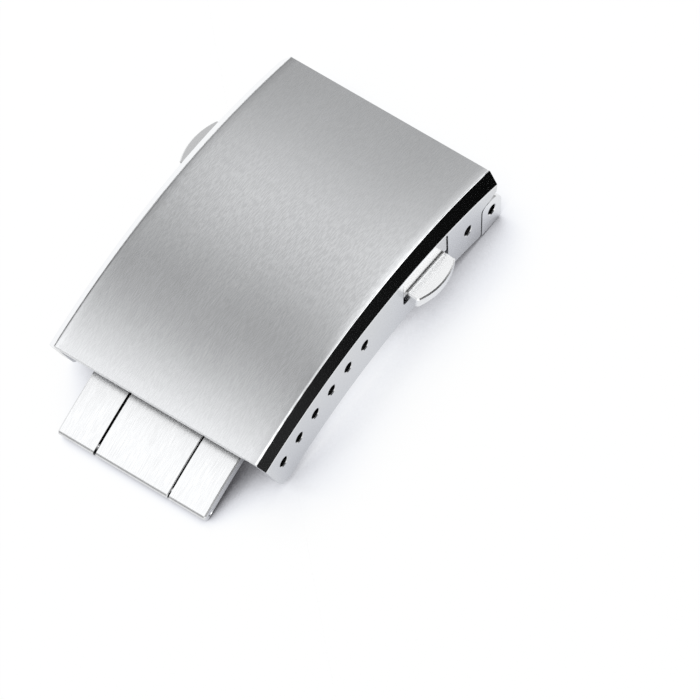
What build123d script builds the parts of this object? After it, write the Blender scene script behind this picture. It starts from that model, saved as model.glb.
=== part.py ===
from build123d import *
from math import atan2, cos, degrees, pi, radians, sin, sqrt, tan
import os

os.makedirs("parts", exist_ok=True)

# A fold-over watch clasp with two push buttons, closed as on the wrist.
# Lengths are in millimetres and angles in degrees. X runs from the head end, where the fork
# is pivoted, to the tail end, Y runs across the clasp and Z up from the surface it rests on.
# A run is measured along a curved top towards the tail, a drop square to it, downwards.

overrun = 1.5
running_gap = 0.05
wire_sides = 8

# Cover: a curved channel with bevelled shoulders
outer_width = 22.0
cover_length = 33.5
crown_radius = 52.3
crown_thickness = 1.0
side_wall = 1.0
wall_depth = 5.9
bevel_width = 0.86
bevel_drop = 0.98
bevel_shift = 0.36
crown_edge_radius = 0.15
shoulder_radius = 0.12
inner_corner_radius = 0.4
end_edge = 0.1
tail_corner_radius = 1.2
lobe_corner_radius = 0.3

# Latch stud, and the two sliding catches and their cage, in levels under the crown
latch_run = 10.32
stud_head_gap = 0.25
stud_head_radius = 0.95
stud_head_height = 0.62
stud_dome_rise = 0.28
stud_neck_radius = 0.58
stud_foot_radius = 0.85
stud_foot_height = 0.35
stud_shank_radius = 0.5
stud_rivet_radius = 0.85
stud_rivet_height = 0.2
catch_gap = 0.05
catch_under_gap = 0.08
catch_width = 1.5
slide_thickness = 0.45
slide_half_width = 2.2
slide_corner_radius = 0.5
window_exit = 0.7
window_slack = 0.1
cage_floor_gap = 0.1
cage_floor_thickness = 0.42
cage_half_length = 4.4
cage_cheek = 0.5
cage_side_gap = 0.35
cage_window_margin = 0.25
cage_foot_length = 2.15
cage_foot_thickness = 0.5
cage_screw_radius = 0.5
cage_screw_bite = 0.6
cage_screw_head_radius = 0.8
cage_screw_head = 0.4
cage_screw_spread = 5.2
cage_screw_clear = 0.35
spring_post_place = 3.75
spring_post_thickness = 0.65
fold_gap = 0.16

# Push buttons in windows of the cover's side walls, with the springs that return them
window_drop = 1.25
window_half_length = 3.12
window_corner_radius = 0.3
window_floor_gap = 0.2
button_travel = 0.8
button_drop = 2.97
button_half_length = 2.62
button_side_reach = 1.12
button_middle_reach = 1.72
button_root = 0.65
button_thickness = 1.0
button_face_slope = 5.0
button_body_gap = 0.14
button_body_overlap = 0.27
button_corner_radius = 0.3
button_edge = 0.12
button_groove_width = 0.16
button_groove_depth = 0.08
button_stop_thickness = 0.9
slide_tuck = 0.7
slide_rivet_radius = 0.3
slide_rivet_head_radius = 0.5
slide_rivet_head = 0.12
slide_rivet_spread = 1.3
button_spring_radius = 0.4
button_spring_wire = 0.2
button_spring_pitch = 0.75

# Sprung pivot bar across the cover's head
pivot_run = 3.97
pivot_tip_radius = 0.45
pivot_tip_sink = 0.45
pivot_tip_chamfer = 0.12
pivot_tip_release = 0.1
pivot_collar_step = 0.1
pivot_collar_length = 3.6
pivot_tube_wall = 0.12
pivot_tube_lip = 0.3
pivot_tube_inset = 0.3
pivot_spring_wire = 0.16
pivot_spring_pitch = 0.8

# Fork: two arms on a cross tube that turns on the pivot bar
knuckle_wall = 0.28
strip_ease = 1.28
strip_reach = 33.3
strip_width = 14.95
arm_thickness = 1.0
arm_gap = 7.64
arm_root_gap = 0.4
arm_root_run = 1.6
arm_taper_run = 13.7
arm_edge = 0.12
tip_corner_radius = 0.3

# Hinge pin through the arms' tips and the blade
hinge_pin_radius = 0.35
hinge_pin_inset = 0.8
hinge_pin_sink = 0.05

# Centre blade between the arms
blade_proud = 0.1
blade_side_gap = 0.15
blade_head_run = 1.9
blade_edge = 0.08

# End bracket under the blade, with the lugs that carry the bracelet at the head
bracket_thickness = 0.75
bracket_side_gap = 0.25
bracket_crease_run = 2.12
bracket_corner_radius = 1.0
bracket_kink = 7.0
bracket_plate_inset = 0.3
tongue_side_inset = 0.45
tongue_tail = 2.3
lug_length = 2.78
lug_height = 2.8
lug_foot = 0.55
lug_back = 0.12
lug_thickness = 1.0
lug_front_radius = 1.2
lug_back_radius = 0.55
lug_foot_radius = 0.5
lug_heel_radius = 0.1
lug_hole_radius = 0.5
lug_hole_inset = 1.48
lug_hole_height = 1.48

# Notch in the cover's walls behind and over the lugs
notch_back_gap = 0.15
notch_top_gap = 0.11
notch_slope = 16.5
notch_corner_radius = 0.4

# Holes along the cover's tail that take the bracelet's spring bar
adjust_hole_radius = 0.5
hole_edge = 0.07
adjust_hole_pitch = 2.5
adjust_hole_drop = 2.93
adjust_tail_margin = 1.73
adjust_land = 5.5

# Levels under the crown, worked down from its underside
half_width = outer_width / 2
inner_half = half_width - side_wall
stud_head_drop = crown_thickness + stud_head_gap
upper_slide_drop = stud_head_drop + stud_head_height + catch_under_gap
lower_slide_drop = upper_slide_drop + slide_thickness + running_gap
slide_bottom_drop = lower_slide_drop + slide_thickness
cage_floor_drop = slide_bottom_drop + cage_floor_gap
strip_drop = cage_floor_drop + cage_floor_thickness + fold_gap
pivot_bore_radius = pivot_tip_radius + pivot_collar_step + running_gap
pivot_tube_radius = pivot_bore_radius + pivot_tube_wall
knuckle_radius = pivot_tube_radius + running_gap + knuckle_wall
pivot_drop = strip_drop + arm_thickness - knuckle_radius
blade_thickness = arm_thickness + blade_proud
bracket_underside = blade_thickness + bracket_thickness


# Curves of the side view, where a point's Y is its height

def slope_at(run):
    """Slope of the crown in degrees, positive where it climbs towards the tail."""
    return degrees((cover_length / 2 - run) / crown_radius)


def tangent(slope):
    return Vector(cos(radians(slope)), sin(radians(slope)))


def upright(slope):
    return Vector(-sin(radians(slope)), cos(radians(slope)))


crown_centre = Vector(0, -crown_radius)


def on_cover(run, drop):
    """Point at a run along the crown and a drop below it."""
    return crown_centre + upright(slope_at(run)) * (crown_radius - drop)


def run_of(point):
    """Run along the crown at which a point lies square under it."""
    arm = point - crown_centre
    return cover_length / 2 + crown_radius * atan2(arm.X, arm.Y)


pivot = on_cover(pivot_run, pivot_drop)
pivot_slope = slope_at(pivot_run)
strip_radius = crown_radius - strip_drop + strip_ease
strip_centre = on_cover(pivot_run, strip_drop) - upright(pivot_slope) * strip_radius


def strip_slope(run):
    """Slope of the folded strip's top at a run from the pivot."""
    return pivot_slope - degrees(run / strip_radius)


def on_strip(run, drop):
    """Point at a run along the folded strip's top from the pivot, and a drop below it."""
    return strip_centre + upright(strip_slope(run)) * (strip_radius - drop)


hinge = on_strip(strip_reach - hinge_pin_inset, arm_thickness / 2)

# The lug frame starts at the bracket's crease, underneath, and runs out towards the head
crease = on_strip(-bracket_crease_run, bracket_underside)
lug_slope = strip_slope(-bracket_crease_run) - bracket_kink


def on_lug(reach, height):
    """Point at a reach from the crease and a height over the lug plate's underside."""
    return crease - tangent(lug_slope) * reach + upright(lug_slope) * height


lug_hole = on_lug(lug_hole_inset, lug_hole_height)
notch_back = lug_back - notch_back_gap

# The latch frame has its origin on the crown over the stud, x to the tail and z square out
latch_slope = slope_at(latch_run)
latch_point = on_cover(latch_run, 0)
latch_tangent, latch_upright = tangent(latch_slope), upright(latch_slope)
latch = Plane(
    origin=(latch_point.X, 0, latch_point.Y),
    x_dir=(latch_tangent.X, 0, latch_tangent.Y),
    z_dir=(latch_upright.X, 0, latch_upright.Y),
)
to_strip = latch_point - strip_centre
along = to_strip.dot(latch_upright)
aside = to_strip.dot(latch_tangent)
blade_drop = along - sqrt(strip_radius ** 2 - aside ** 2)
bracket_drop = along - sqrt((strip_radius - bracket_underside) ** 2 - aside ** 2)


# Shared builders

def outline(*points):
    """Face in the side view through points joined by straight edges."""
    return side_face(joined(*points, points[0]))


def joined(*points):
    return [Line(a, b) for a, b in zip(points, points[1:])]


def side_face(edges):
    return Plane.XZ * make_face(Wire(edges))


def cover_line(first, last, drop):
    """The crown's curve between two runs, offset by a drop."""
    middle = (first + last) / 2
    return [ThreePointArc(*(on_cover(run, drop) for run in (first, middle, last)))]


def strip_line(first, last, drop):
    """The folded strip's curve between two runs, offset by a drop."""
    middle = (first + last) / 2
    return [ThreePointArc(*(on_strip(run, drop) for run in (first, middle, last)))]


def cover_band(first, last, top, bottom):
    """Side-view face under the crown between two runs and two drops."""
    return side_face(
        cover_line(first, last, top)
        + joined(on_cover(last, top), on_cover(last, bottom))
        + cover_line(last, first, bottom)
        + joined(on_cover(first, bottom), on_cover(first, top))
    )


def strip_band(first, last, top, bottom):
    """Side-view face of a stretch of the folded strip between two drops."""
    return side_face(
        strip_line(first, last, top)
        + joined(on_strip(last, top), on_strip(last, bottom))
        + strip_line(last, first, bottom)
        + joined(on_strip(first, bottom), on_strip(first, top))
    )


def across(face, width):
    """Side-view face drawn out across the clasp, centred on its middle plane."""
    return extrude(face, width / 2, both=True)


def slab(x0, x1, y0, y1, z0, z1):
    """Box between two corners."""
    box = Box(x1 - x0, y1 - y0, z1 - z0, align=(Align.MIN, Align.MIN, Align.MIN))
    return Pos(x0, y0, z0) * box


def nearest(items, place):
    """The item whose centre lies nearest to a place."""
    return min(items, key=lambda item: (item.center() - Vector(*place)).length)


def rounded(face, point, radius):
    """Side-view face with the corner nearest to a side-view point rounded."""
    return fillet(nearest(face.vertices(), (point.X, 0, point.Y)), radius)


def turned(place, points):
    """Solid turned about the Y line through a side-view place, from radius and Y points."""
    half = Plane(origin=(place.X, 0, place.Y), x_dir=(1, 0, 0), z_dir=(0, 0, 1))
    face = half * make_face(Polyline(*points, points[0]))
    return revolve(face, Axis((place.X, 0, place.Y), (0, 1, 0)))


def cross_bar(place, radius, half_length):
    """Round bar along Y, centred on the middle plane."""
    return turned(place, [(0, -half_length), (radius, -half_length),
                          (radius, half_length), (0, half_length)])


def flared_bar(place, radius):
    """Round bar right across the clasp, flared where it breaks out at the walls' faces."""
    reach = half_width + overrun
    flare = hole_edge + overrun
    return turned(place, [
        (0, -reach), (radius + flare, -reach), (radius, hole_edge - half_width),
        (radius, half_width - hole_edge), (radius + flare, reach), (0, reach),
    ])


def upright_rod(x, y, radius, top, bottom):
    """Round rod square to the crown between two drops, in a frame on the crown."""
    rod = Cylinder(radius, bottom - top, align=(Align.CENTER, Align.CENTER, Align.MAX))
    return Pos(x, y, -top) * rod


def both_sides(shape):
    return shape + mirror(shape, about=Plane.XZ)


def coil(radius, wire, pitch, length):
    """Wire wound up the Z axis on a helix, as a biarc for each quarter turn."""
    turns = (length - wire) / pitch
    quarters = round(4 * turns)
    step = 2 * pi * turns / quarters
    rise = pitch / (2 * pi)

    def place(index):
        angle = index * step
        return Vector(radius * cos(angle), radius * sin(angle), wire / 2 + rise * angle)

    def heading(index):
        angle = index * step
        return Vector(-radius * sin(angle), radius * cos(angle), rise).normalized()

    edges = []
    for index in range(quarters):
        start, end = place(index), place(index + 1)
        out, home = heading(index), heading(index + 1)
        chord = end - start
        lean = chord.dot(out + home)
        spread = 2 * (1 - out.dot(home))
        handle = (sqrt(lean ** 2 + spread * chord.dot(chord)) - lean) / spread
        near, far = start + out * handle, end - home * handle
        joint = (near + far) / 2
        edges.append(TangentArc(start, joint, tangent=out))
        edges.append(TangentArc(joint, end, tangent=far - near))
    section = Plane(origin=place(0), z_dir=heading(0)) * RegularPolygon(wire / 2, wire_sides)
    return sweep(section, Wire(edges))


def least_self_gap(radius, wire, pitch, length):
    """Least clear distance between turns of a coil, measured on points along its wire."""
    steps = 60
    rise = pitch / steps
    turn = 2 * pi / steps
    count = int((length - wire) / rise)
    return min(
        sqrt((radius * cos(turn * i) - radius) ** 2 + (radius * sin(turn * i)) ** 2
             + (rise * i) ** 2) - wire
        for i in range(steps // 2, count)
    )


# Cover

def wound(section, first, last, shift):
    """Section in Y and height turned about the crown's centre, or one shifted to the tail."""
    start, facing = on_cover(first, 0), tangent(slope_at(first))
    place = Plane(origin=(start.X + shift, 0, start.Y), x_dir=(0, 1, 0),
                  z_dir=(facing.X, 0, facing.Y))
    axis = Axis((crown_centre.X + shift, 0, crown_centre.Y), (0, 1, 0))
    return revolve(place * section, axis, degrees((last - first) / crown_radius))


def bevel_section():
    """All that lies outside the bevel, its rounded lower edge and the wall of positive Y."""
    inset = bevel_width * (bevel_drop + overrun) / bevel_drop
    out, low = half_width + outer_width, -wall_depth - outer_width
    section = make_face(Polyline(
        (half_width - inset, overrun), (out, overrun), (out, low), (half_width, low),
        (half_width, -bevel_drop), (half_width - inset, overrun),
    ))
    return fillet(nearest(section.vertices(), (half_width, -bevel_drop, 0)), shoulder_radius)


def make_cover():
    """Channel turned about the crown's centre, then bevelled, trimmed, notched and pierced."""
    wide, depth = half_width + overrun, wall_depth + overrun
    section = make_face(Polyline(
        (-wide, 0), (wide, 0), (wide, -depth), (inner_half, -depth),
        (inner_half, -crown_thickness), (-inner_half, -crown_thickness), (-inner_half, -depth),
        (-wide, -depth), (-wide, 0),
    ))
    for y in (-inner_half, inner_half):
        section = fillet(nearest(section.vertices(), (y, -crown_thickness, 0)),
                         inner_corner_radius)
    channel = wound(section, 0, cover_length, 0)
    channel -= both_sides(wound(bevel_section(), -overrun, cover_length + overrun, bevel_shift))
    channel = fillet(channel.edges().sort_by(Axis.Z)[-2:], crown_edge_radius)

    trim = side_face(
        joined(on_cover(0, wall_depth), on_cover(0, end_edge), on_cover(end_edge, 0),
               on_cover(end_edge, -overrun))
        + cover_line(end_edge, cover_length - end_edge, -overrun)
        + joined(on_cover(cover_length - end_edge, -overrun), on_cover(cover_length - end_edge, 0),
                 on_cover(cover_length, end_edge), on_cover(cover_length, wall_depth))
        + cover_line(cover_length, 0, wall_depth)
    )
    trim = rounded(trim, on_cover(cover_length, wall_depth), tail_corner_radius)
    ahead = outline(
        on_lug(lug_length + overrun, wall_depth), on_lug(notch_back, wall_depth),
        on_lug(notch_back, -wall_depth), on_lug(lug_length + overrun, -wall_depth),
    )
    notch_start = on_lug(lug_back + lug_back_radius, lug_height + notch_top_gap)
    rise = tan(radians(notch_slope)) * outer_width
    below = outline(
        *(notch_start + tangent(lug_slope) * side * outer_width
          - upright(lug_slope) * (side * rise + deep)
          for side, deep in ((-1, 0), (1, 0), (1, outer_width), (-1, outer_width)))
    )
    notch = rounded(ahead & below, on_lug(notch_back, lug_height), notch_corner_radius)
    lobe = on_lug(notch_back, lug_height)
    trim = rounded(trim - notch, on_cover(run_of(lobe), wall_depth), lobe_corner_radius)
    body = channel & across(trim, outer_width + overrun)

    floor = button_drop + button_thickness + window_floor_gap
    window = Pos(0, -(window_drop + floor) / 2) * RectangleRounded(
        2 * window_half_length, floor - window_drop, window_corner_radius)
    upright_plane = Plane(origin=latch.origin, x_dir=latch.x_dir, z_dir=-latch.y_dir)
    body -= extrude(upright_plane * window, outer_width, both=True)

    for run in adjust_runs():
        body -= flared_bar(on_cover(run, adjust_hole_drop), adjust_hole_radius)
    body -= flared_bar(pivot, pivot_tip_radius + running_gap)
    for screw in cage_screw_places():
        body -= screw * upright_rod(0, 0, cage_screw_radius,
                                    crown_thickness - cage_screw_bite, wall_depth)
    return body


def adjust_runs():
    """Runs of the spring-bar holes, from the tail back to the plain wall by the button."""
    last = cover_length - adjust_tail_margin
    first = latch_run + window_half_length + adjust_land
    count = int((last - first) / adjust_hole_pitch) + 1
    return [last - index * adjust_hole_pitch for index in range(count)]


# Cage under the crown, and its screws

def cage_screw_places():
    """Frames on the crown, square to it, over the cage's four screws."""
    spread = cage_half_length + cage_screw_clear + cage_screw_head_radius
    places = []
    for run in (latch_run - spread, latch_run + spread):
        point, along, out = on_cover(run, 0), tangent(slope_at(run)), upright(slope_at(run))
        for y in (-cage_screw_spread, cage_screw_spread):
            places.append(Plane(origin=(point.X, y, point.Y), x_dir=(along.X, 0, along.Y),
                                z_dir=(out.X, 0, out.Y)))
    return places


stop_face = inner_half - running_gap
stop_inner = stop_face - button_stop_thickness
cage_half_width = stop_inner - button_travel - cage_side_gap
cage_inner = cage_half_length - cage_cheek
cheek_half_width = inner_half - inner_corner_radius
spring_centre = (slide_half_width + cage_inner) / 2
spring_drop = (upper_slide_drop + slide_bottom_drop) / 2
catch_edge = stud_head_radius + catch_gap
window_head = -stud_head_radius - window_exit
window_tail = stud_head_radius + window_slack
window_back = stud_head_radius + button_travel + window_slack


def make_cage():
    """Floor, cheeks up to the crown, feet along it and a post for each button spring."""
    floor_top, floor_low = -cage_floor_drop, -cage_floor_drop - cage_floor_thickness
    cage = slab(-cage_half_length, cage_half_length, -cage_half_width, cage_half_width,
                floor_low, floor_top)
    for first, last in ((-cage_half_length, -cage_inner), (cage_inner, cage_half_length)):
        cage += slab(first, last, -cheek_half_width, cheek_half_width, floor_low, 0)
    margin = cage_window_margin
    cage -= slab(window_head - margin, window_tail + margin, -catch_edge - margin,
                 catch_edge + margin, floor_low - overrun, floor_top + overrun)
    post_half = min(button_spring_radius + button_spring_wire, cage_inner - spring_centre)
    for side in (-1, 1):
        x, y = -side * spring_centre, side * (spring_post_place + spring_post_thickness / 2)
        cage += slab(x - post_half, x + post_half, y - spring_post_thickness / 2,
                     y + spring_post_thickness / 2, floor_low, -upper_slide_drop)
    cage = latch * cage
    reach = cage_half_length + cage_foot_length
    under_crown = cover_band(latch_run - reach, latch_run + reach, crown_thickness, wall_depth)
    cage &= across(under_crown, outer_width)
    for first, last in ((-reach, -cage_inner), (cage_inner, reach)):
        foot = cover_band(latch_run + first, latch_run + last, crown_thickness,
                          crown_thickness + cage_foot_thickness)
        cage += across(foot, 2 * cage_half_width)
    for screw in cage_screw_places():
        cage -= screw * upright_rod(0, 0, cage_screw_radius, 0, wall_depth)
    return cage


def make_cage_screws():
    """Four flat-topped screws from the cage's feet up into the crown."""
    sag = cage_screw_head_radius ** 2 / (2 * (crown_radius - crown_thickness))
    seat = crown_thickness + cage_foot_thickness + sag
    screw = (upright_rod(0, 0, cage_screw_radius, crown_thickness - cage_screw_bite, seat)
             + upright_rod(0, 0, cage_screw_head_radius, seat, seat + cage_screw_head))
    return Compound([place * screw for place in cage_screw_places()])


# Catches and push buttons, drawn for the side of positive Y in the latch frame

def make_slide(drop):
    """Sheet catch, from its tuck in the button to the edge past the stud."""
    far = -catch_edge - catch_width
    sheet = slab(-slide_half_width, slide_half_width, far, stop_inner + slide_tuck,
                 -drop - slide_thickness, -drop)
    ends = [edge for edge in sheet.edges().filter_by(Axis.Z) if edge.center().Y < 0]
    sheet = fillet(ends, slide_corner_radius)
    sheet -= slab(window_head, window_tail, -catch_edge, window_back,
                  -drop - 2 * slide_thickness, -drop + slide_thickness)
    for x in (-slide_rivet_spread, slide_rivet_spread):
        sheet -= upright_rod(x, stop_inner + slide_tuck / 2, slide_rivet_radius, 0, wall_depth)
    return sheet


def make_button(drop):
    """D-shaped thumb plate under a block that fills the window, and the stop inside the wall."""
    half = button_half_length
    side, middle = half_width + button_side_reach, half_width + button_middle_reach
    root, top = half_width - button_root, -button_drop
    plate = make_face(Wire(
        joined(Vector(half, side), Vector(half, root), Vector(-half, root), Vector(-half, side))
        + [ThreePointArc((-half, side), (0, middle), (half, side))]
    ))
    for x in (-half, half):
        plate = fillet(nearest(plate.vertices(), (x, side, 0)), button_corner_radius)
    head = Pos(0, 0, top) * extrude(plate, -button_thickness)
    rim = [edge for edge in head.edges()
           if edge.center().Z > top - button_edge and edge.center().Y > root + button_edge]
    sloped = Pos(0, half_width, top) * Rot(-button_face_slope, 0, 0) * Pos(0, -half_width, -top)
    head = sloped * chamfer(rim, button_edge)
    lip = button_groove_width / 2
    body_half = window_half_length - button_body_gap
    body_low = top - button_body_overlap
    body = slab(-body_half, body_half, stop_face, half_width - lip, body_low,
                -window_drop - button_body_gap)
    stop_half = cage_inner - running_gap
    stop = slab(-stop_half, stop_half, stop_inner, stop_face, body_low, -upper_slide_drop)
    button = head + body + stop
    button -= extrude(Plane.YZ * make_face(Polyline(
        (half_width - lip, top), (half_width, top - button_groove_depth),
        (half_width + lip, top), (half_width + lip, top + overrun),
        (half_width - lip, top + overrun), (half_width - lip, top),
    )), outer_width, both=True)
    button -= slab(-slide_half_width, slide_half_width, stop_inner - overrun,
                   stop_inner + slide_tuck, -drop - slide_thickness, -drop)
    for x in (-slide_rivet_spread, slide_rivet_spread):
        button -= upright_rod(x, stop_inner + slide_tuck / 2, slide_rivet_radius,
                              0, slide_bottom_drop)
    return button


def make_slide_rivets():
    """Two rivets that hold a catch in its button."""
    y = stop_inner + slide_tuck / 2
    rivets = []
    for x in (-slide_rivet_spread, slide_rivet_spread):
        shank = upright_rod(x, y, slide_rivet_radius, upper_slide_drop, slide_bottom_drop)
        head = upright_rod(x, y, slide_rivet_head_radius, upper_slide_drop - slide_rivet_head,
                           upper_slide_drop)
        rivets.append(shank + head)
    return Compound(rivets)


def make_button_spring():
    """Coil between its post on the cage and the button's stop."""
    start = spring_post_place + spring_post_thickness
    wound = coil(button_spring_radius, button_spring_wire, button_spring_pitch, stop_inner - start)
    return Pos(-spring_centre, start, -spring_drop) * Rot(-90, 0, 0) * wound


# Pivot bar

tube_half = inner_half - arm_root_gap - pivot_tube_inset
collar_end = tube_half - pivot_tube_lip - running_gap
collar_start = collar_end - pivot_collar_length
tip_end = half_width - pivot_tip_sink
tip_travel = tip_end - inner_half + pivot_tip_release


def make_pivot_tube():
    """Thin tube with an inward lip at each end."""
    neck = pivot_tip_radius + running_gap
    lip = tube_half - pivot_tube_lip
    return turned(pivot, [
        (neck, -tube_half), (pivot_tube_radius, -tube_half), (pivot_tube_radius, tube_half),
        (neck, tube_half), (neck, lip), (pivot_bore_radius, lip), (pivot_bore_radius, -lip),
        (neck, -lip),
    ])


def make_pivot_tip():
    """Collared tip that reaches from inside the tube into the wall of positive Y."""
    collar = pivot_tip_radius + pivot_collar_step
    return turned(pivot, [
        (0, collar_start), (collar, collar_start), (collar, collar_end),
        (pivot_tip_radius, collar_end), (pivot_tip_radius, tip_end - pivot_tip_chamfer),
        (pivot_tip_radius - pivot_tip_chamfer, tip_end), (0, tip_end),
    ])


pivot_coil_radius = pivot_bore_radius - running_gap - pivot_spring_wire / 2


def make_pivot_spring():
    """Coil inside the tube that holds the two tips apart."""
    wound = coil(pivot_coil_radius, pivot_spring_wire, pivot_spring_pitch, 2 * collar_start)
    return Pos(pivot.X, -collar_start, pivot.Y) * Rot(-90, 0, 0) * wound


# Folding strip: fork, hinge pin, blade, stud and bracket

def make_fork():
    """Curved arms cut to their plan outline, joined to the cross tube at their root."""
    band = strip_band(0, strip_reach, 0, arm_thickness)
    for drop in (0, arm_thickness):
        band = rounded(band, on_strip(strip_reach, drop), tip_corner_radius)
    root, tip = inner_half - arm_root_gap, strip_width / 2
    arms = across(band, 2 * root)
    x_root, x_taper = on_strip(arm_root_run, 0).X, on_strip(arm_taper_run, 0).X
    x_head, x_tail = pivot.X - overrun, on_strip(strip_reach, 0).X + overrun
    low = min(pivot.Y, on_strip(strip_reach, arm_thickness).Y) - strip_width
    plan = make_face(Polyline(
        (x_head, -root), (x_root, -root), (x_taper, -tip), (x_tail, -tip),
        (x_tail, tip), (x_taper, tip), (x_root, root), (x_head, root), (x_head, -root),
    ))
    arms &= Pos(0, 0, low) * extrude(plan, -2 * low)
    outer_edges = [edge for edge in arms.edges()
                   if edge.length > arm_taper_run / 2 and abs(edge.center().Y) > arm_gap / 2]
    arms = chamfer(outer_edges, arm_edge)
    arms -= slab(pivot.X, x_tail, -arm_gap / 2, arm_gap / 2, low, -low)
    fork = arms + cross_bar(pivot, knuckle_radius, root)
    fork -= cross_bar(pivot, pivot_tube_radius + running_gap, root + overrun)
    fork -= cross_bar(hinge, hinge_pin_radius, tip + overrun)
    return fork


def make_blade():
    """Curved bar between the arms, bored for the hinge pin and the stud."""
    width = arm_gap - 2 * blade_side_gap
    band = strip_band(blade_head_run, strip_reach, 0, blade_thickness)
    for drop in (0, blade_thickness):
        band = rounded(band, on_strip(strip_reach, drop), tip_corner_radius)
    blade = across(band, width)
    blade = chamfer([edge for edge in blade.edges()
                     if edge.length > strip_reach / 2 and abs(edge.center().Y) > width / 4],
                    blade_edge)
    blade -= cross_bar(hinge, hinge_pin_radius + running_gap, width)
    blade -= latch * upright_rod(0, 0, stud_shank_radius, 0, wall_depth + overrun)
    return blade


def make_stud():
    """Mushroom stud turned square to the crown, riveted through the blade and tongue."""
    top, head_low = -stud_head_drop, -stud_head_drop - stud_head_height
    rim = top - stud_dome_rise
    seat, end = -blade_drop, -bracket_drop
    dome = ThreePointArc((0, top), (stud_head_radius / 2, top - stud_dome_rise / 4),
                         (stud_head_radius, rim))
    side = joined(*(Vector(r, z) for r, z in (
        (stud_head_radius, rim), (stud_head_radius, head_low), (stud_neck_radius, head_low),
        (stud_neck_radius, seat + stud_foot_height), (stud_foot_radius, seat),
        (stud_shank_radius, seat), (stud_shank_radius, end), (stud_rivet_radius, end),
        (stud_shank_radius, end - stud_rivet_height), (0, end - stud_rivet_height), (0, top),
    )))
    half = Plane(origin=latch.origin, x_dir=latch.x_dir, z_dir=-latch.y_dir)
    face = half * make_face(Wire([dome] + side))
    return revolve(face, Axis(latch.origin, latch.z_dir))


mitre_run = bracket_thickness * tan(radians(bracket_kink / 2)) - bracket_crease_run


def make_bracket():
    """Tongue and strip on the blade's curve, then the kinked plate that carries the lugs."""
    top, bottom = blade_thickness, bracket_underside
    tongue_end = latch_run - pivot_run + tongue_tail
    blade_width = arm_gap - 2 * blade_side_gap
    tongue = across(strip_band(0, tongue_end, top, bottom), blade_width - 2 * tongue_side_inset)
    mitre = on_strip(mitre_run, top)
    strip_face = side_face(
        strip_line(mitre_run, blade_head_run, top)
        + joined(on_strip(blade_head_run, top), on_strip(blade_head_run, bottom))
        + strip_line(blade_head_run, -bracket_crease_run, bottom)
        + joined(crease, mitre)
    )
    strip = across(strip_face, 2 * (inner_half - bracket_side_gap))
    tail_x = on_strip(blade_head_run, bottom).X
    back = [edge for edge in strip.edges()
            if edge.center().X > tail_x - bracket_thickness / 2
            and abs(edge.center().Y) > inner_half - 2 * bracket_side_gap]
    strip = fillet([edge for edge in back if edge.length < 2 * bracket_thickness],
                   bracket_corner_radius)

    front = lug_length - bracket_plate_inset
    plate = across(outline(crease, on_lug(front, 0), on_lug(front, bracket_thickness), mitre),
                   2 * (half_width - lug_thickness))
    bracket = tongue + strip + plate
    bracket -= latch * upright_rod(0, 0, stud_shank_radius, 0, wall_depth + overrun)
    return bracket


def make_lug():
    """Upright ear that is brazed to the end of the bracket's plate, on the side of positive Y."""
    lug = outline(
        on_lug(lug_back, -lug_foot), on_lug(lug_length, -lug_foot),
        on_lug(lug_length, lug_height), on_lug(lug_back, lug_height),
    )
    for point, radius in (
        (on_lug(lug_back, -lug_foot), lug_heel_radius),
        (on_lug(lug_length, -lug_foot), lug_foot_radius),
        (on_lug(lug_length, lug_height), lug_front_radius),
        (on_lug(lug_back, lug_height), lug_back_radius),
    ):
        lug = rounded(lug, point, radius)
    solid = Pos(0, half_width, 0) * extrude(lug, lug_thickness)
    return solid - flared_bar(lug_hole, lug_hole_radius)


# Standing: level the lugs' feet and the blade's tip, then centre on the origin

front_low = on_lug(lug_length, -lug_foot)
tail_low = on_strip(strip_reach, blade_thickness)
tilt = degrees(atan2(tail_low.Y - front_low.Y, tail_low.X - front_low.X))
level = Rot(0, tilt, 0)

left = mirror(make_button(upper_slide_drop), about=Plane.XZ)
pivot_tip = make_pivot_tip()
spring = make_button_spring()
rivets = make_slide_rivets()
lug = make_lug()
nodes = {
    "cover_shell": make_cover(),
    "latch_cage": make_cage(),
    "cage_screws": make_cage_screws(),
    "button_left": latch * left,
    "button_right": latch * make_button(lower_slide_drop),
    "latch_slide_left": latch * mirror(make_slide(upper_slide_drop), about=Plane.XZ),
    "latch_slide_right": latch * make_slide(lower_slide_drop),
    "slide_rivets_left": latch * mirror(rivets, about=Plane.XZ),
    "slide_rivets_right": latch * rivets,
    "button_spring_left": latch * Rot(0, 0, 180) * spring,
    "button_spring_right": latch * spring,
    "pivot_tube": make_pivot_tube(),
    "pivot_tip_left": mirror(pivot_tip, about=Plane.XZ),
    "pivot_tip_right": pivot_tip,
    "pivot_spring": make_pivot_spring(),
    "fork": make_fork(),
    "hinge_pin": cross_bar(hinge, hinge_pin_radius, strip_width / 2 - hinge_pin_sink),
    "centre_blade": make_blade(),
    "latch_stud": make_stud(),
    "end_bracket": make_bracket(),
    "bracket_lug_left": mirror(lug, about=Plane.XZ),
    "bracket_lug_right": lug,
}

box = Compound([level * shape for shape in nodes.values()]).bounding_box()
stand = Pos(-(box.min.X + box.max.X) / 2, -(box.min.Y + box.max.Y) / 2, -box.min.Z) * level


def standing(point, y=0):
    """A side-view point as it lies in the finished part."""
    return (stand * Pos(point.X, y, point.Y)).position


for name, shape in nodes.items():
    export_step(stand * shape, f"parts/{name}.step")

print("least gap in a button spring", round(least_self_gap(
    button_spring_radius, button_spring_wire, button_spring_pitch,
    stop_inner - spring_post_place - spring_post_thickness), 3))
print("least gap in the pivot spring", round(least_self_gap(
    pivot_coil_radius, pivot_spring_wire, pivot_spring_pitch, 2 * collar_start), 3))
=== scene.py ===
import bmesh
import bpy
import math
import numpy as np
from mathutils import Matrix, Vector


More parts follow.
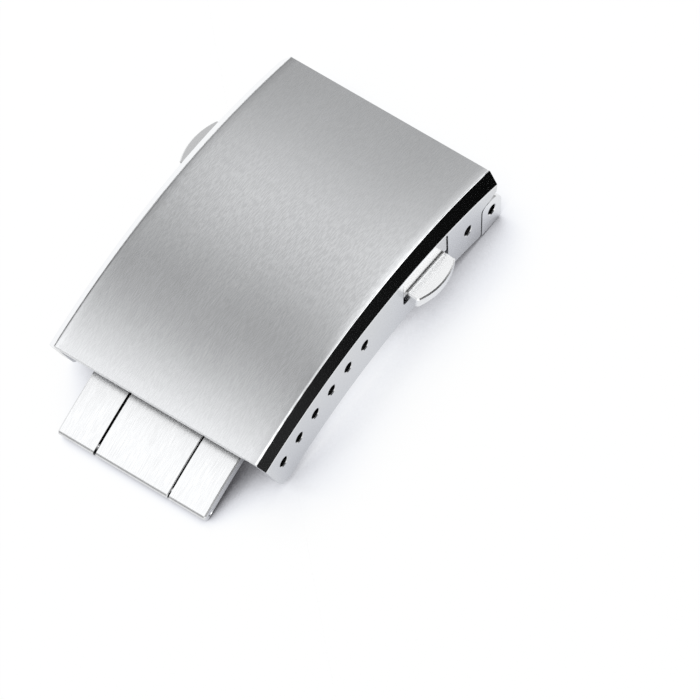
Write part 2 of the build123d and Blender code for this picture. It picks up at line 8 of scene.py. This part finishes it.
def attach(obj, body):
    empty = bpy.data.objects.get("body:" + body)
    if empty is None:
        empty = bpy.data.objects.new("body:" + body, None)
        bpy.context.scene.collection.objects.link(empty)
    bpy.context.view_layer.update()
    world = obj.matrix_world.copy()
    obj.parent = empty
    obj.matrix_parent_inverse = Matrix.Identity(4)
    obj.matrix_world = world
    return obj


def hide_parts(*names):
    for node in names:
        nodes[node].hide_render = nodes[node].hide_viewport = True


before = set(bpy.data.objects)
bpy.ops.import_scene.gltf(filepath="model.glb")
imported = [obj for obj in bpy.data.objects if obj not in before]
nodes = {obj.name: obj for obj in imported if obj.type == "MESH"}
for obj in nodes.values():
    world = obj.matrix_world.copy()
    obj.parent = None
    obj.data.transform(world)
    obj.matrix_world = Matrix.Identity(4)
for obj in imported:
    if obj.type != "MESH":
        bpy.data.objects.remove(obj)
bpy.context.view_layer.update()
mm = 0.001
print("clasp: frame loaded with", len(nodes), "nodes")

# Camera where the photograph was taken from: above the tail corner, turned a little.
cameraView = {
    "azimuth": 135.812, "elevation": 60.524, "roll": 11.530,   # degrees
    "aim": (0.7007, 9.6535, 4.2163), "distance": 935.82,       # millimetres
    "lens": 591.25, "sensor": 36.0, "clip": (0.01, 20.0),      # clip in metres
}


def addCamera(v):
    azimuth, elevation, roll = (math.radians(v[key]) for key in ("azimuth", "elevation", "roll"))
    back = Vector((math.sin(azimuth) * math.cos(elevation),
                   -math.cos(azimuth) * math.cos(elevation), math.sin(elevation)))
    levelRight = Vector((math.cos(azimuth), math.sin(azimuth), 0))
    levelUp = back.cross(levelRight)
    right = levelRight * math.cos(roll) - levelUp * math.sin(roll)
    up = back.cross(right)
    turn = Matrix((right, up, back)).transposed()
    place = Vector(v["aim"]) * mm + back * v["distance"] * mm
    data = bpy.data.cameras.new("studioCamera")
    data.lens, data.sensor_width = v["lens"], v["sensor"]
    data.clip_start, data.clip_end = v["clip"]
    camera = bpy.data.objects.new("studioCamera", data)
    camera.matrix_world = Matrix.Translation(place) @ turn.to_4x4()
    bpy.context.scene.collection.objects.link(camera)
    bpy.context.scene.camera = camera


addCamera(cameraView)
bpy.context.scene.view_settings.view_transform = "Standard"


def setInput(tree, socket, value):
    if isinstance(value, bpy.types.NodeSocket):
        tree.links.new(value, socket)
    else:
        socket.default_value = value


def addNode(tree, kind, inputs=None, **settings):
    made = tree.nodes.new(kind)
    for key, value in settings.items():
        setattr(made, key, value)
    for key, value in (inputs or {}).items():
        setInput(tree, made.inputs[key], value)
    return made


def calc(tree, operation, a, b=0.0, c=0.0, clamp=False):
    made = addNode(tree, "ShaderNodeMath", {0: a, 1: b, 2: c}, operation=operation)
    made.use_clamp = clamp
    return made.outputs[0]


def times(tree, *values):
    product = values[0]
    for value in values[1:]:
        product = calc(tree, "MULTIPLY", product, value)
    return product


def blend(tree, share, first, second):
    return addNode(tree, "ShaderNodeMix", {0: share, 2: first, 3: second}).outputs[0]


def blendColour(tree, share, first, second):
    made = addNode(tree, "ShaderNodeMix", data_type="RGBA")
    for index, value in ((0, share), (6, first), (7, second)):
        setInput(tree, made.inputs[index], value)
    return made.outputs[2]


def rise(tree, value, low, high):
    # Smooth rise from 0 to 1 between two values.
    made = addNode(tree, "ShaderNodeMapRange",
                   {"Value": value, "From Min": low, "From Max": high},
                   interpolation_type="SMOOTHSTEP")
    return made.outputs["Result"]


def between(tree, value, low, high, soft):
    # 1 inside two values and 0 outside them, with soft ends.
    return times(tree, rise(tree, value, low - soft, low + soft),
                 calc(tree, "SUBTRACT", 1.0, rise(tree, value, high - soft, high + soft)))


def grey(level, tint=0.0):
    # Grey whose blue stands a little over its red, and its green by less.
    greenShare = 0.4
    return (level, level * (1 + tint * greenShare), level * (1 + tint), 1)


def shinyRay(tree, path):
    # 1 on rays that come off or through a surface and show what they meet.
    return calc(tree, "MAXIMUM", path.outputs["Is Glossy Ray"],
                path.outputs["Is Transmission Ray"])


def addRamp(tree, value, points):
    # Level along a run of (place, level or colour) points, for places from -1 to 1.
    made = addNode(tree, "ShaderNodeValToRGB", {0: calc(tree, "MULTIPLY_ADD", value, 0.5, 0.5)})
    stops = made.color_ramp.elements
    while len(stops) < len(points):
        stops.new(0.5)
    for stop, (place, level) in zip(stops, points):
        stop.position = place * 0.5 + 0.5
        stop.color = level if isinstance(level, tuple) else grey(level)
    return made.outputs[0]


# Studio. Metal shows what lies in the direction it reflects, so the world is drawn by
# direction: x runs to the tail, y to the near side, z up.
studio = {
    "overheadGain": 1.45,
    "overhead": [(-1.0, 0.28), (-0.80, 0.36), (-0.70, 0.38), (-0.60, 0.495), (-0.50, 0.61),
                 (-0.33, 0.48), (-0.15, 0.268), (-0.07, 0.272), (0.05, 0.415), (0.14, 0.62),
                 (0.24, 0.98), (0.42, 1.0), (0.56, 0.52), (0.75, 0.34), (1.0, 0.30)],
    "acrossGain": 1.75,            # brighter soft box over the near half, dimmer far side
    "across": [(-1.0, 0.26), (-0.66, 0.28), (-0.52, 0.46), (-0.40, 0.56), (-0.33, 0.575),
               (-0.27, 0.66), (-0.18, 0.92), (-0.12, 1.0), (0.10, 1.0), (0.26, 1.35),
               (0.50, 1.45), (0.62, 1.3), (0.70, 0.575), (1.0, 0.5)],
    "cardSide": (0.54, 0.62),      # dark card low on the near side, short of the tail
    "cardTop": (0.34, 0.44),
    "cardEnd": (0.10, 0.26),
    "cardLevel": [(-1.0, 0.0018), (-0.69, 0.0022), (-0.33, 0.006), (0.0, 0.020), (1.0, 0.03)],
    "ambient": 0.62,
    "ambientColour": (0.93, 0.965, 1.0, 1),
    "floorSize": 4.0,
    "floorWhite": 0.86,
    "floorKept": 0.97,             # share of the floor's look that its soft shadow alone darkens
    "shadowReach": 7.5,            # millimetres
    "shadowSamples": 16,
    "shadowFrom": (0.16, -0.42, 0.89),   # the side that the soft light comes from
    "shadow": [(-1.0, (0.020, 0.019, 0.022, 1)), (-0.55, (0.028, 0.026, 0.030, 1)),
               (-0.38, (0.12, 0.12, 0.13, 1)), (-0.15, (0.52, 0.525, 0.56, 1)),
               (0.05, (0.75, 0.76, 0.80, 1)), (0.25, (0.86, 0.875, 0.92, 1)),
               (0.50, (0.97, 0.98, 0.998, 1)), (0.70, (1, 1, 1, 1))],
    "lampPlace": (-0.25, -0.55, 0.85), "lampSize": 0.45, "lampPower": 9.0,   # metres, watts
}


def addWorld(v):
    world = bpy.data.worlds.new("studio")
    bpy.context.scene.world = world
    world.use_nodes = True
    tree = world.node_tree
    tree.nodes.clear()
    way = addNode(tree, "ShaderNodeTexCoord").outputs["Generated"]
    split = addNode(tree, "ShaderNodeSeparateXYZ", {0: way})
    x, y, z = (split.outputs[i] for i in range(3))
    overhead = times(tree, addRamp(tree, x, v["overhead"]), addRamp(tree, y, v["across"]),
                     v["overheadGain"] * v["acrossGain"])
    low = calc(tree, "SUBTRACT", 1.0, rise(tree, z, *v["cardTop"]))
    short = calc(tree, "SUBTRACT", 1.0, rise(tree, x, *v["cardEnd"]))
    card = times(tree, rise(tree, y, *v["cardSide"]), low, short)
    seen = blend(tree, card, overhead, addRamp(tree, x, v["cardLevel"]))
    below = calc(tree, "LESS_THAN", z, 0.0)                # floor all the way out
    seen = blend(tree, below, seen, 1.0)
    path = addNode(tree, "ShaderNodeLightPath")
    straight = path.outputs["Is Camera Ray"]
    shiny = shinyRay(tree, path)
    level = blend(tree, shiny, v["ambient"], seen)
    level = blend(tree, straight, level, 1.0)
    colour = blendColour(tree, calc(tree, "MAXIMUM", straight, shiny),
                         v["ambientColour"], (1, 1, 1, 1))
    sky = addNode(tree, "ShaderNodeBackground", {"Color": colour, "Strength": level})
    out = addNode(tree, "ShaderNodeOutputWorld")
    tree.links.new(sky.outputs[0], out.inputs[0])


def addFloor(v):
    half = v["floorSize"] / 2
    mesh = bpy.data.meshes.new("floor")
    mesh.from_pydata([(-half, -half, 0), (half, -half, 0), (half, half, 0), (-half, half, 0)],
                     [], [(0, 1, 2, 3)])
    floor = bpy.data.objects.new("floor", mesh)
    bpy.context.scene.collection.objects.link(floor)
    paint = bpy.data.materials.new("floorPaper")
    paint.use_nodes = True
    tree = paint.node_tree
    tree.nodes.clear()
    lit = addNode(tree, "ShaderNodeBsdfDiffuse", {"Color": grey(v["floorWhite"])})
    lean = addNode(tree, "ShaderNodeCombineXYZ", dict(enumerate(v["shadowFrom"])))
    near = addNode(tree, "ShaderNodeAmbientOcclusion", {
        "Distance": v["shadowReach"] * mm, "Normal": lean.outputs[0]}, samples=v["shadowSamples"])
    unshaded = calc(tree, "MULTIPLY_ADD", near.outputs["AO"], 2.0, -1.0)   # from -1 to 1
    glow = addNode(tree, "ShaderNodeEmission", {"Color": addRamp(tree, unshaded, v["shadow"])})
    path = addNode(tree, "ShaderNodeLightPath")
    shown = calc(tree, "MAXIMUM", path.outputs["Is Camera Ray"], shinyRay(tree, path))
    share = times(tree, shown, v["floorKept"])
    mixed = addNode(tree, "ShaderNodeMixShader", {0: share, 1: lit.outputs[0], 2: glow.outputs[0]})
    under = addNode(tree, "ShaderNodeNewGeometry").outputs["Backfacing"]   # clear from below
    clear = addNode(tree, "ShaderNodeBsdfTransparent")
    mixed = addNode(tree, "ShaderNodeMixShader",
                    {0: under, 1: mixed.outputs[0], 2: clear.outputs[0]})
    out = addNode(tree, "ShaderNodeOutputMaterial")
    tree.links.new(mixed.outputs[0], out.inputs[0])
    mesh.materials.append(paint)


def addLamp(v):
    data = bpy.data.lights.new("keyLamp", "AREA")
    data.shape, data.size, data.energy = "DISK", v["lampSize"], v["lampPower"]
    lamp = bpy.data.objects.new("keyLamp", data)
    place = Vector(v["lampPlace"])
    turn = place.to_track_quat("Z", "Y").to_matrix().to_4x4()
    lamp.matrix_world = Matrix.Translation(place) @ turn
    lamp.visible_glossy = False            # metal shows the world alone
    bpy.context.scene.collection.objects.link(lamp)


addWorld(studio)
addFloor(studio)
addLamp(studio)
print("clasp: studio ready")

# Crown and folded strip are both curved, and brushing follows their arcs.
# Centre of each arc in the side view and its radius, in millimetres.
arcs = {
    "crown": {"x": -1.386, "z": -43.770, "radius": 52.3},
    "strip": {"x": -1.057, "z": -45.007, "radius": 50.0},
}


def makeGroup(name, inputs, outputs):
    tree = bpy.data.node_groups.new(name, "ShaderNodeTree")
    for key, value in inputs:
        socket = tree.interface.new_socket(key, in_out="INPUT", socket_type="NodeSocketFloat")
        socket.default_value = value
    for key in outputs:
        tree.interface.new_socket(key, in_out="OUTPUT", socket_type="NodeSocketFloat")
    return tree, tree.nodes.new("NodeGroupInput").outputs, tree.nodes.new("NodeGroupOutput").inputs


# Each noise of the brushing: its length and width as multiples of a line's, and its detail.
brushing = {
    "noises": {"fine": (1.0, 1.0, 3.0), "band": (3.0, 9.0, 2.0),
               "patch": (1.6, 22.0, 2.0), "stroke": (0.5, 1.25, 1.0)},
    "roughness": 0.6, "patchGain": 3.2, "patchBase": 0.75, "fineGain": 0.8, "bandGain": 0.25,
    "strokeHalf": 0.14, "lineRange": (0.3, 0.7),
}


def makeBrushing(v):
    # Place on an arc, and brushed lines on it. Run = angle from straight up x radius,
    # drop = radius - distance from the centre. Fine lines and broad bands are noise of run
    # over a long length and of y and drop over a short width; patches fade the fine lines.
    # Strokes are shorter, crisper lines.
    tree, given, out = makeGroup("brushing", [
        ("Centre X", 0.0), ("Centre Z", 0.0), ("Radius", 50.0), ("Line Length", 3.0),
        ("Line Width", 0.09)], ["Lines", "Strokes", "Run", "Side", "Drop"])
    place = addNode(tree, "ShaderNodeTexCoord").outputs["Object"]
    split = addNode(tree, "ShaderNodeSeparateXYZ", {0: place})
    x, y, z = (calc(tree, "MULTIPLY", split.outputs[i], 1 / mm) for i in range(3))
    dx = calc(tree, "SUBTRACT", x, given["Centre X"])
    dz = calc(tree, "SUBTRACT", z, given["Centre Z"])
    run = times(tree, calc(tree, "ARCTAN2", dx, dz), given["Radius"])
    reach = calc(tree, "SQRT", calc(tree, "MULTIPLY_ADD", dx, dx, times(tree, dz, dz)))
    drop = calc(tree, "SUBTRACT", given["Radius"], reach)
    made = {}
    for name, (longer, wider, detail) in v["noises"].items():
        length = times(tree, given["Line Length"], longer)
        width = times(tree, given["Line Width"], wider)
        at = addNode(tree, "ShaderNodeCombineXYZ", {
            0: calc(tree, "DIVIDE", run, length), 1: calc(tree, "DIVIDE", y, width),
            2: calc(tree, "DIVIDE", drop, width)}).outputs[0]
        noise = addNode(tree, "ShaderNodeTexNoise",
                        {"Vector": at, "Scale": 1.0, "Detail": detail,
                         "Roughness": v["roughness"]})
        made[name] = calc(tree, "SUBTRACT", noise.outputs["Fac"], 0.5)
    strength = calc(tree, "MULTIPLY_ADD", made["patch"], v["patchGain"], v["patchBase"], clamp=True)
    lines = calc(tree, "MULTIPLY_ADD", times(tree, made["fine"], strength), v["fineGain"], 0.5)
    lines = calc(tree, "MULTIPLY_ADD", made["band"], v["bandGain"], lines)
    strokes = rise(tree, made["stroke"], -v["strokeHalf"], v["strokeHalf"])
    for name, value in (("Lines", lines), ("Strokes", strokes), ("Run", run),
                        ("Side", calc(tree, "ABSOLUTE", y)), ("Drop", drop)):
        tree.links.new(value, out[name])
    return tree


handling = {"detail": 4.0, "roughness": 0.55, "seed": 0.0}


def makeHandling(v):
    # Faint cloudy smears from handling and wiping, as a value about one half.
    tree, given, out = makeGroup("handling", [("Size", 4.0)], ["Smears"])
    place = addNode(tree, "ShaderNodeTexCoord").outputs["Object"]
    large = addNode(tree, "ShaderNodeVectorMath", {0: place}, operation="SCALE")
    tree.links.new(calc(tree, "DIVIDE", 1 / mm, given["Size"]), large.inputs["Scale"])
    noise = addNode(tree, "ShaderNodeTexNoise",
                    {"Vector": large.outputs[0], "Scale": 1.0, "Detail": v["detail"],
                     "Roughness": v["roughness"], "W": v["seed"]}, noise_dimensions="4D")
    tree.links.new(noise.outputs["Fac"], out["Smears"])
    return tree


brushingGroup = makeBrushing(brushing)
handlingGroup = makeHandling(handling)


def useGroup(tree, group, values):
    made = addNode(tree, "ShaderNodeGroup", node_tree=group)
    for key, value in values.items():
        made.inputs[key].default_value = value
    return made.outputs


def startMetal(name, v):
    paint = bpy.data.materials.new(name)
    paint.use_nodes = True
    tree = paint.node_tree
    shader = tree.nodes["Principled BSDF"]
    shader.inputs["Metallic"].default_value = 1.0
    arc = v["arc"]
    brushed = useGroup(tree, brushingGroup, {
        "Centre X": arc["x"], "Centre Z": arc["z"], "Radius": arc["radius"],
        "Line Length": v["lineLength"], "Line Width": v["lineWidth"]})
    smears = useGroup(tree, handlingGroup, {"Size": v["smearSize"]})["Smears"]
    spread = rise(tree, brushed["Lines"], *brushing["lineRange"])
    spread = calc(tree, "MULTIPLY_ADD", calc(tree, "SUBTRACT", brushed["Strokes"], 0.5),
                  v["strokes"], spread, clamp=True)
    if "strokeRun" in v:
        # Lines show most in one stretch of the length.
        shown = calc(tree, "MULTIPLY_ADD", between(tree, brushed["Run"], *v["strokeRun"]),
                     1 - v["strokeLeast"], v["strokeLeast"])
        spread = calc(tree, "MULTIPLY_ADD", calc(tree, "SUBTRACT", spread, 0.5), shown, 0.5)
    darker, lighter = (grey(v["level"] * (1 + s * v["contrast"]), v["tint"]) for s in (-1, 1))
    colour = blendColour(tree, spread, darker, lighter)
    rough = calc(tree, "MULTIPLY_ADD", calc(tree, "SUBTRACT", smears, 0.5), v["smearRough"],
                 v["roughness"])
    rough = calc(tree, "MULTIPLY_ADD", calc(tree, "SUBTRACT", brushed["Lines"], 0.5),
                 v["lineRough"], rough, clamp=True)
    return paint, tree, shader, brushed, colour, rough


def endMetal(tree, shader, colour, rough, height):
    # Height is in millimetres.
    bump = addNode(tree, "ShaderNodeBump", {"Strength": 1.0, "Distance": mm, "Height": height})
    tree.links.new(colour, shader.inputs["Base Color"])
    tree.links.new(rough, shader.inputs["Roughness"])
    tree.links.new(bump.outputs[0], shader.inputs["Normal"])


def makeMetal(name, v):
    # Steel sheet, bar or wire. Marks are zones of another level, such as painted shade in a gap,
    # groove or hole.
    paint, tree, shader, brushed, colour, rough = startMetal(name, v)
    for zone, level in v.get("marks", ()):
        share = times(tree, *(between(tree, brushed[key], *zone[key]) for key in zone))
        colour = blendColour(tree, share, colour, grey(level))
    height = calc(tree, "MULTIPLY", brushed["Lines"], v["lineDepth"])
    endMetal(tree, shader, colour, rough, height)
    return paint


def makeCoverMetal(name, v):
    # Brushed top whose margins roll over a little, polished bevels, satin walls, dull inside
    # painted darker as shade under the crown.
    # The inner faces of the button's window are painted pale as light over their shade, and those
    # of the holes painted dark as shade.
    paint, tree, shader, brushed, colour, rough = startMetal(name, v)
    run, side, drop = (brushed[key] for key in ("Run", "Side", "Drop"))
    edge = calc(tree, "MULTIPLY_ADD", run, v["bevelTaper"], v["bevelStart"])
    past = calc(tree, "SUBTRACT", side, edge)
    beside = rise(tree, past, -v["bevelSoft"], v["bevelSoft"])
    bevelEnd = calc(tree, "MULTIPLY_ADD", run, v["bevelSlant"], v["bevelDrop"])
    beyond = calc(tree, "SUBTRACT", drop, bevelEnd)
    wall = times(tree, beside, rise(tree, beyond, *v["wallStart"]))
    bevel = calc(tree, "SUBTRACT", beside, wall, clamp=True)
    inside = times(tree, rise(tree, drop, *v["insideDrop"]),
                   calc(tree, "SUBTRACT", 1.0, rise(tree, side, *v["insideSide"])))
    soft = v["holeSoft"]
    row, pivot = (times(tree, between(tree, run, *v[along], soft),
                        between(tree, drop, *v[down], soft))
                  for along, down in (("holeRun", "holeDrop"), ("pivotRun", "pivotDrop")))
    holes = times(tree, between(tree, side, *v["holeSide"], soft),
                  calc(tree, "MAXIMUM", row, pivot))
    gap = times(tree, between(tree, run, *v["gapRun"], soft),
                between(tree, side, *v["gapSide"], v["gapSoft"]), rise(tree, drop, *v["gapDrop"]))
    # The inside and the holes take painted shade, and the window's faces painted light, over the
    # wall's and bevel's own finishes.
    for mask, paintOf, roughOf in (
            (wall, grey(v["wallLevel"], v["tint"]), v["wallRoughness"]),
            (bevel, grey(v["bevelLevel"], v["tint"]), v["bevelRoughness"]),
            (inside, grey(v["insideShadeLevel"], v["tint"]), v["insideRoughness"]),
            (gap, grey(v["gapLightLevel"], v["tint"]), v["wallRoughness"]),
            (holes, grey(v["holeShadeLevel"]), v["insideRoughness"])):
        colour = blendColour(tree, mask, colour, paintOf)
        rough = blend(tree, mask, rough, roughOf)
    # Height = lines on the top and faint on the walls, less three margins that each fall away
    # as the square of the way across them, plus a rise down the bevel that leans it up a little.
    smooth = calc(tree, "SUBTRACT", 1.0,
                  calc(tree, "MULTIPLY_ADD", wall, v["wallSmooth"], bevel), clamp=True)
    height = times(tree, brushed["Lines"], v["lineDepth"], smooth)
    share = blend(tree, rise(tree, run, *v["marginRun"]), 1.0, v["marginEnd"])
    for width, fall, part in ((v["marginWidth"], v["marginFall"], share),
                              (v["crownWidth"], v["crownFall"], share),
                              (v["edgeWidth"], v["edgeFall"], 1.0)):
        across = calc(tree, "MULTIPLY_ADD", past, 1 / width, 1.0, clamp=True)
        height = calc(tree, "MULTIPLY_ADD", times(tree, across, across, part), -fall, height)
    down = calc(tree, "MINIMUM", calc(tree, "MAXIMUM", drop, 0.0), bevelEnd)
    height = calc(tree, "MULTIPLY_ADD", down, v["bevelLean"], height)
    endMetal(tree, shader, colour, rough, height)
    return paint


# Lengths, widths, runs, sides and drops are in millimetres, and a third number in a range is
# its softness. Level = reflectance; contrast and strokes set how far the brushing varies it.
finishes = {
    "cover": {
        "arc": arcs["crown"], "level": 0.70, "tint": 0.03, "contrast": 0.075,
        "strokes": 1.3, "strokeLeast": 0.38, "strokeRun": (-6.5, 3.0, 4.0),
        "lineLength": 1.4, "lineWidth": 0.075, "lineDepth": 0.0022, "lineRough": 0.10,
        "roughness": 0.25, "smearSize": 5.0, "smearRough": 0.06,
        "marginWidth": 0.8, "marginFall": 0.042, "marginRun": (1.0, 9.0), "marginEnd": -0.35,
        "crownWidth": 5.0, "crownFall": 0.075, "edgeWidth": 0.18, "edgeFall": 0.022,
        "bevelStart": 10.142, "bevelTaper": 0.006, "bevelDrop": 0.98, "bevelSlant": -0.0069,
        "bevelSoft": 0.03, "bevelLean": 0.05, "bevelLevel": 0.92, "bevelRoughness": 0.07,
        "wallStart": (-0.08, 0.12), "wallLevel": 0.66, "wallRoughness": 0.20, "wallSmooth": 0.7,
        # The inside is rougher, and its level is painted shade under the crown.
        "insideDrop": (0.85, 0.95), "insideSide": (9.95, 9.99), "insideShadeLevel": 0.30,
        "insideRoughness": 0.42,
        # The window's faces are painted pale as light over their shade.
        "gapRun": (-10.85, -10.25), "gapSide": (10.0, 10.985), "gapDrop": (1.2, 1.24),
        "gapSoft": 0.005, "gapLightLevel": 0.96,
        # The holes' inner faces are painted nearly black as shade.
        "holeRun": (0.9, 15.0), "holeDrop": (2.31, 3.55), "holeSide": (9.98, 10.9),
        "holeSoft": 0.02, "holeShadeLevel": 0.035,
        "pivotRun": (-14.4, -12.8), "pivotDrop": (2.9, 4.15),
    },
    "strip": {
        "arc": arcs["strip"], "level": 0.72, "tint": 0.02, "contrast": 0.07, "strokes": 0.4,
        "lineLength": 2.2, "lineWidth": 0.09, "lineDepth": 0.0045, "lineRough": 0.08,
        "roughness": 0.24, "smearSize": 4.0, "smearRough": 0.05,
        # The arms' inner faces beside the blade are painted dark as shade in the gap.
        "marks": [({"Side": (3.66, 3.83, 0.006)}, 0.18)],
    },
    "button": {
        "arc": arcs["crown"], "level": 0.85, "tint": 0.015, "contrast": 0.02, "strokes": 0.3,
        "lineLength": 1.1, "lineWidth": 0.07, "lineDepth": 0.001, "lineRough": 0.06,
        "roughness": 0.26, "smearSize": 1.8, "smearRough": 0.12,
        # A darker band on the button's face inside the window, and a near-black line painted as
        # shade along the D-plate's joint with the wall.
        "marks": [({"Side": (10.85, 10.99, 0.01), "Drop": (0.9, 3.0, 0.03)}, 0.70),
                  ({"Side": (10.99, 11.04, 0.008), "Drop": (2.92, 3.3, 0.03)}, 0.05)],
    },
    "polished": {
        "arc": arcs["strip"], "level": 0.78, "tint": 0.02, "contrast": 0.01, "strokes": 0.3,
        "lineLength": 1.5, "lineWidth": 0.06, "lineDepth": 0.0005, "lineRough": 0.02,
        "roughness": 0.13, "smearSize": 1.5, "smearRough": 0.06,
    },
    "lug": {
        "arc": arcs["crown"], "level": 0.78, "tint": 0.02, "contrast": 0.01, "strokes": 0.3,
        "lineLength": 1.2, "lineWidth": 0.06, "lineDepth": 0.0008, "lineRough": 0.03,
        "roughness": 0.14, "smearSize": 1.5, "smearRough": 0.06,
        # A near-black zone painted as shade in the recess of the lug's side.
        "marks": [({"Side": (10.02, 10.92, 0.02), "Run": (-17.9, -16.6, 0.02),
                    "Drop": (3.1, 4.4, 0.02)}, 0.06)],
    },
    "sheet": {
        "arc": arcs["strip"], "level": 0.60, "tint": 0.02, "contrast": 0.05, "strokes": 0.6,
        "lineLength": 0.9, "lineWidth": 0.15, "lineDepth": 0.003, "lineRough": 0.10,
        "roughness": 0.34, "smearSize": 1.2, "smearRough": 0.12,
    },
    "screw": {
        "arc": arcs["crown"], "level": 0.50, "tint": 0.03, "contrast": 0.08, "strokes": 0.5,
        "lineLength": 0.30, "lineWidth": 0.05, "lineDepth": 0.002, "lineRough": 0.12,
        "roughness": 0.28, "smearSize": 0.6, "smearRough": 0.15,
    },
}
coverMetal = makeCoverMetal("brushedCover", finishes["cover"])
stripMetal = makeMetal("brushedStrip", finishes["strip"])
buttonMetal = makeMetal("satinButton", finishes["button"])
polishedMetal = makeMetal("polishedSteel", finishes["polished"])
lugMetal = makeMetal("polishedLug", finishes["lug"])
sheetMetal = makeMetal("plainSheet", finishes["sheet"])
screwMetal = makeMetal("turnedScrew", finishes["screw"])

coats = {
    "cover_shell": coverMetal, "fork": stripMetal, "centre_blade": stripMetal,
    "button_left": buttonMetal, "button_right": buttonMetal, "latch_stud": polishedMetal,
    "hinge_pin": polishedMetal, "end_bracket": polishedMetal,
    "bracket_lug_left": lugMetal, "bracket_lug_right": lugMetal,
    "pivot_tip_left": polishedMetal, "pivot_tip_right": polishedMetal,
}
for name, piece in nodes.items():
    piece.data.materials.clear()
    piece.data.materials.append(coats.get(name, sheetMetal))
print("clasp: finishes on")

# Slotted screws under the crown, in millimetres. Depths run down from the crown's top.
screws = {
    "places": [(-14.0582, -5.2, 6.9717), (-14.0582, 5.2, 6.9717),
               (-3.0853, -5.2, 8.5025), (-3.0853, 5.2, 8.5025)],
    "upright": [(-0.24229, 0, 0.9702), (-0.24229, 0, 0.9702),
                (-0.03249, 0, 0.99947), (-0.03249, 0, 0.99947)],
    "turn": (20, 65, -35, 80),      # degrees, of each slot
    "headRadius": 0.8, "shankRadius": 0.5,
    "shankTop": 0.4, "seat": 1.506, "face": 1.906,
    "dome": 0.07, "edge": 0.05, "slotHalf": 0.11, "slotDepth": 0.2,
    "rows": (-1, -0.97, -0.88, -0.72, -0.52, -0.32),    # shares of the radius, to the slot
    "columns": 12, "weld": 0.0001,
}


def screwGrid(v):
    # Chords across a disc: y = row, x = sqrt(1 - y^2) x an even cosine spread. The two rows
    # at each side of the slot come twice, once on the face and once on the slot's floor.
    half = v["slotHalf"] / v["headRadius"]
    row = np.array(v["rows"] + (-half,))
    y = np.concatenate([row, [-half, half], -row[::-1]])
    sunk = np.concatenate([np.zeros(len(row)), [1, 1], np.zeros(len(row))])
    spread = -np.cos(np.linspace(0, np.pi, v["columns"] + 1))
    x = np.sqrt(np.clip(1 - y ** 2, 0, None))[:, None] * spread[None, :]
    return x, np.repeat(y[:, None], x.shape[1], 1), np.repeat(sunk[:, None], x.shape[1], 1)


def makeScrews(v):
    # Each ring is a scaled copy of the disc's outline at its own depth. The face's depth is
    # face - dome x r^2, less the slot's, with r as a share of the head's radius. The shank's
    # end closes flat.
    x, y, sunk = screwGrid(v)
    rows, columns = x.shape
    index = np.arange(rows * columns).reshape(rows, columns)
    outline = np.concatenate([index[:, -1], index[-2:0:-1, 0]])
    flatX, flatY = x.ravel(), y.ravel()
    radial = flatX ** 2 + flatY ** 2
    inner = 1 - v["edge"] / v["headRadius"]
    faceDepth = v["face"] - v["dome"] * radial - v["slotDepth"] * sunk.ravel()
    points = [np.stack([flatX * v["headRadius"] * inner, flatY * v["headRadius"] * inner,
                        faceDepth], 1)]
    rings = ((v["headRadius"], v["face"] - v["dome"] - v["edge"]), (v["headRadius"], v["seat"]),
             (v["shankRadius"], v["seat"]), (v["shankRadius"], v["shankTop"]))
    for radius, depth in rings:
        ring = np.stack([flatX[outline] * radius, flatY[outline] * radius,
                         np.full(len(outline), depth)], 1)
        if depth > v["seat"]:
            ring[:, 2] -= v["slotDepth"] * sunk.ravel()[outline]
        points.append(ring)
    points.append(np.stack([flatX * v["shankRadius"], flatY * v["shankRadius"],
                            np.full(flatX.size, v["shankTop"])], 1))
    quads = [np.stack([index[:-1, :-1], index[:-1, 1:], index[1:, 1:], index[1:, :-1]], -1)
             .reshape(-1, 4)]
    start = rows * columns
    levels = [outline] + [start + k * len(outline) + np.arange(len(outline))
                          for k in range(len(rings))]
    for upper, lower in zip(levels[:-1], levels[1:]):
        quads.append(np.stack([upper, np.roll(upper, -1), np.roll(lower, -1), lower], 1))
    quads.append(quads[0] + start + len(rings) * len(outline))
    local = np.concatenate(points)
    quads = np.concatenate(quads)
    vertices, faces = [], []
    for place, upright, turn in zip(v["places"], v["upright"], np.radians(v["turn"])):
        up = np.array(upright)
        along = np.array([up[2], 0, -up[0]])
        across = np.array([0, 1.0, 0])
        first = along * np.cos(turn) + across * np.sin(turn)
        second = across * np.cos(turn) - along * np.sin(turn)
        faces.append(quads + len(local) * len(vertices))
        vertices.append(np.array(place) + local[:, :1] * first + local[:, 1:2] * second
                        - local[:, 2:] * up)
    mesh = bpy.data.meshes.new("cageScrews")
    mesh.from_pydata((np.concatenate(vertices) * mm).tolist(), [], np.concatenate(faces).tolist())
    made = bmesh.new()
    made.from_mesh(mesh)
    bmesh.ops.remove_doubles(made, verts=made.verts, dist=v["weld"] * mm)
    bmesh.ops.dissolve_degenerate(made, edges=made.edges, dist=v["weld"] * mm)
    bmesh.ops.recalc_face_normals(made, faces=made.faces)
    made.to_mesh(mesh)
    made.free()
    mesh.materials.append(screwMetal)
    piece = bpy.data.objects.new("cageScrews", mesh)
    bpy.context.scene.collection.objects.link(piece)
    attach(piece, "cover")
    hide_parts("cage_screws")


makeScrews(screws)
print("clasp: screws made")
